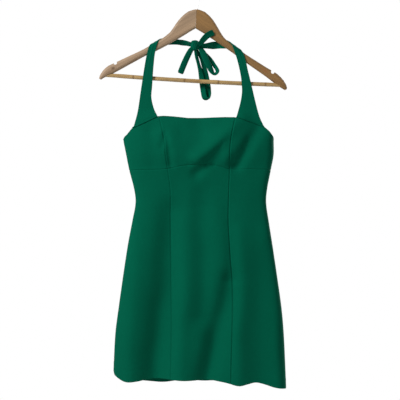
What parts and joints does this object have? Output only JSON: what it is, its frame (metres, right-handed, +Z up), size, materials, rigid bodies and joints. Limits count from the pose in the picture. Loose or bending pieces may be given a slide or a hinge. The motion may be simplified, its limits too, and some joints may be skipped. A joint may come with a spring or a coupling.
{
  "type": "halter dress on a wooden hanger",
  "caption": "Green halter mini dress with a square neckline and princess seams, its straps rolled over a wooden hanger's arms and tied in a bow; it hangs by the hanger's wire hook.",
  "frame": {"origin": "inside of the crest of the hanger's hook, where the rail carries it", "axes": "+Z up, +Y from the dress's front to its back, +X to the right as seen from the front"},
  "size_m": [0.443, 0.0726, 0.9667],
  "materials": {
    "dress": "matt crepe",
    "wood_left": "bare wood, faintly pink",
    "wood_right": "bare wood, yellow brown",
    "wood_bar": "peeled cane, lightly varnished",
    "hook": "polished wire"
  },
  "bodies": {
    "root": {"bust_centre": "dress", "bust_side_left": "dress", "bust_side_right": "dress", "skirt_front_centre": "dress", "skirt_front_left": "dress", "skirt_front_right": "dress", "back_left": "dress", "back_right": "dress", "strap_left": "dress", "strap_right": "dress", "bow_knot": "dress", "bow_loop_long": "dress", "bow_loop_short": "dress", "bow_end_low": "dress", "bow_end_high": "dress", "hanger_arm_left": "wood_left", "hanger_arm_right": "wood_right", "hanger_bar": "wood_bar", "hanger_hook": "hook"}
  },
  "joints": []
}
